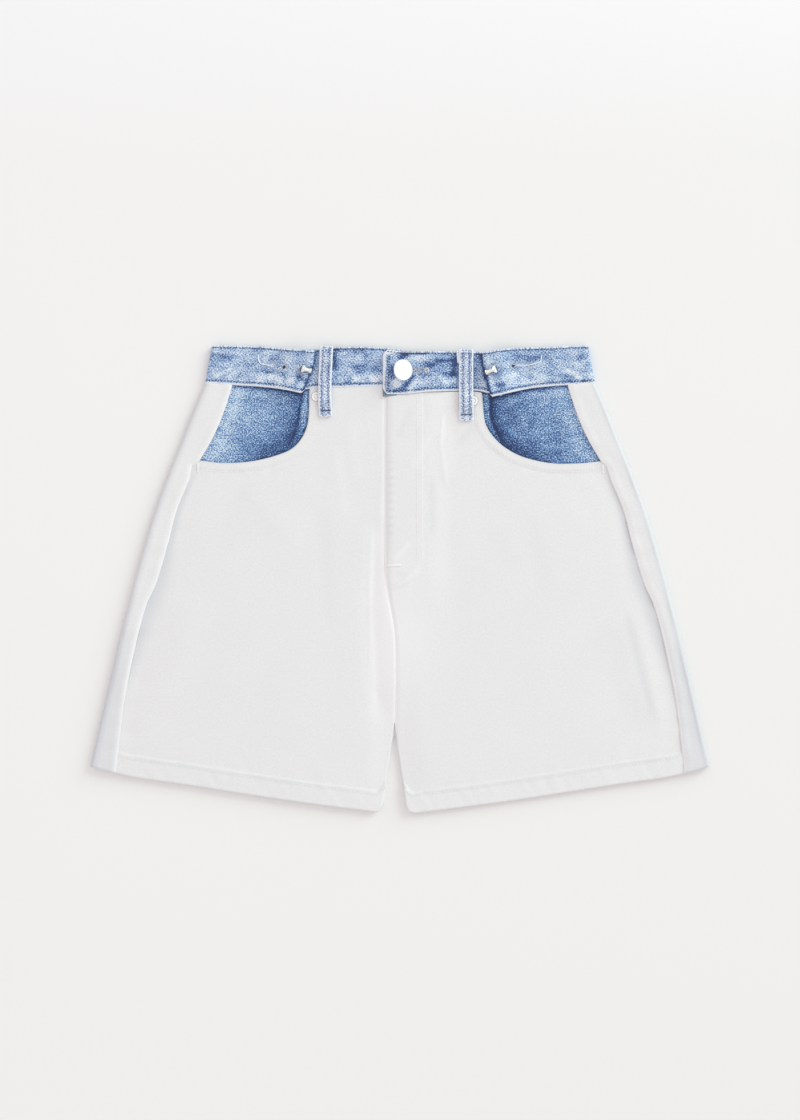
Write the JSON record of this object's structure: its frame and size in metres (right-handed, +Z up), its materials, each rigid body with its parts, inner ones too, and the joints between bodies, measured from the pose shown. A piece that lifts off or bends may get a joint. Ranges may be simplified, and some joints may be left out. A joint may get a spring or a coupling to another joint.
{
  "type": "denim shorts",
  "caption": "High-waisted A-line denim shorts laid flat, off-white with blue denim waistband, belt loops and pocket facings, tack button and pinned waist pleats.",
  "frame": {"origin": "centre of the bounding box on the surface the shorts lie on", "axes": "+Z up from the surface, +Y toward the waistband, +X toward the right-hand side seen from above with the waist away from the viewer"},
  "size_m": [0.5808, 0.4374, 0.0186],
  "materials": {
    "ecru_denim": "matte",
    "blue_denim": "matte",
    "pocket_denim": "matte",
    "loop_denim": "matte",
    "white_metal": "satin",
    "polished_steel": "polished"
  },
  "bodies": {
    "root": {"back_panel_left": "ecru_denim", "back_panel_right": "ecru_denim", "front_panel_left": "ecru_denim", "front_panel_right": "ecru_denim", "pocket_facing_left": "pocket_denim", "pocket_facing_right": "pocket_denim", "waistband": "blue_denim", "belt_loop_left": "loop_denim", "belt_loop_right": "loop_denim", "rivet_left": "white_metal", "rivet_right": "white_metal", "cinch_stud_left": "polished_steel", "cinch_stud_right": "polished_steel", "button": "white_metal"}
  },
  "joints": []
}
